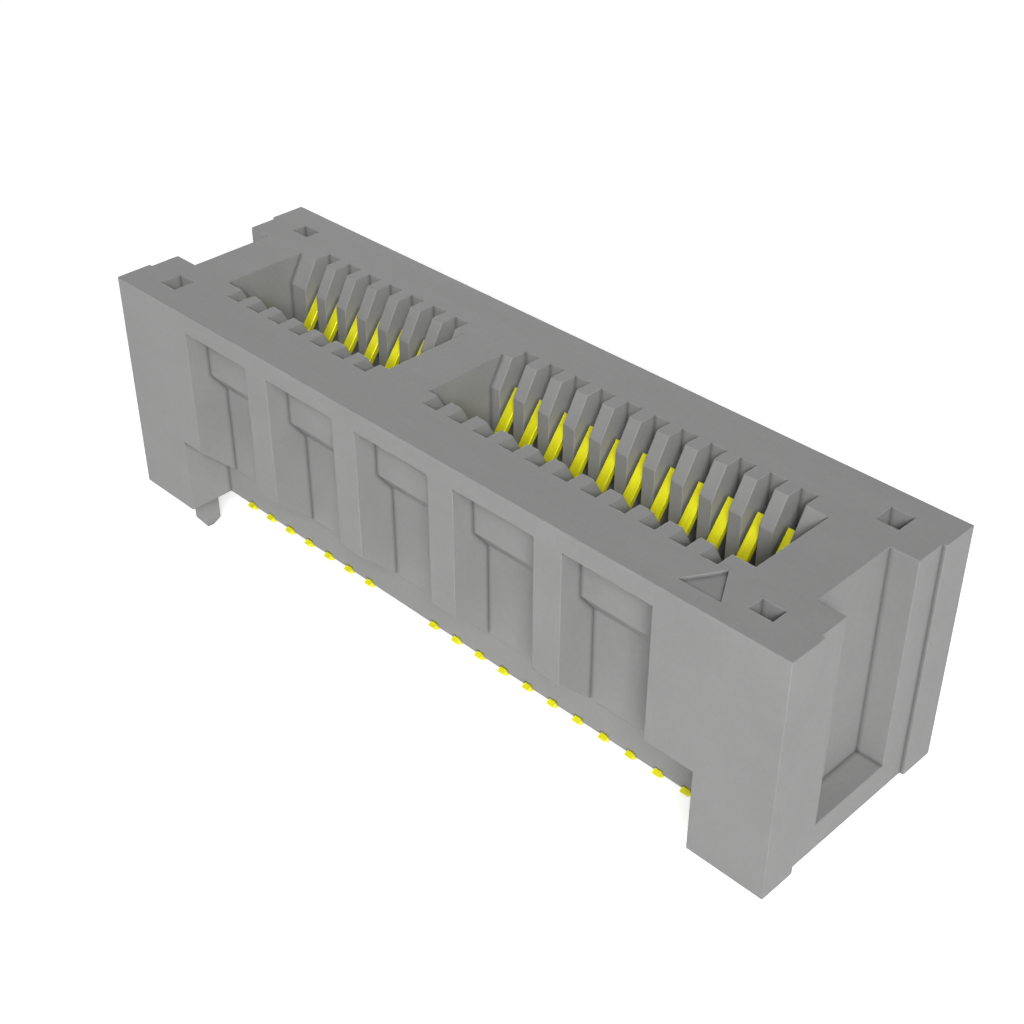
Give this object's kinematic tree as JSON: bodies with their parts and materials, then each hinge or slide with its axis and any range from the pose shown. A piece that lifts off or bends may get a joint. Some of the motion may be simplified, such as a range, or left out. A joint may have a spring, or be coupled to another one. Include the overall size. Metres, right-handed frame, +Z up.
{
  "type": "pci express connector",
  "caption": "Board-mounted card edge socket: a keyed slot with comb walls and bowed spring contacts in a moulded block with cored windows, curled solder tails and corner pegs.",
  "frame": {"origin": "centre of the footprint, level with the soles of the two feet", "axes": "+X along the slot towards the first contact, +Y across the slot to the back row, +Z up out of the slot, away from the board"},
  "size_m": [0.0266, 0.0074, 0.0094],
  "materials": {
    "housing_plastic": "mid grey moulded thermoplastic with a fine matte surface",
    "contact_metal": "bright yellow gold-plated spring strip"
  },
  "bodies": {
    "root": {"housing": "housing_plastic", "contact_back_01": "contact_metal", "contact_back_02": "contact_metal", "contact_back_03": "contact_metal", "contact_back_04": "contact_metal", "contact_back_05": "contact_metal", "contact_back_06": "contact_metal", "contact_back_07": "contact_metal", "contact_back_08": "contact_metal", "contact_back_09": "contact_metal", "contact_back_10": "contact_metal", "contact_back_11": "contact_metal", "contact_back_12": "contact_metal", "contact_back_13": "contact_metal", "contact_back_14": "contact_metal", "contact_back_15": "contact_metal", "contact_back_16": "contact_metal", "contact_back_17": "contact_metal", "contact_back_18": "contact_metal", "contact_front_01": "contact_metal", "contact_front_02": "contact_metal", "contact_front_03": "contact_metal", "contact_front_04": "contact_metal", "contact_front_05": "contact_metal", "contact_front_06": "contact_metal", "contact_front_07": "contact_metal", "contact_front_08": "contact_metal", "contact_front_09": "contact_metal", "contact_front_10": "contact_metal", "contact_front_11": "contact_metal", "contact_front_12": "contact_metal", "contact_front_13": "contact_metal", "contact_front_14": "contact_metal", "contact_front_15": "contact_metal", "contact_front_16": "contact_metal", "contact_front_17": "contact_metal", "contact_front_18": "contact_metal"}
  },
  "joints": []
}
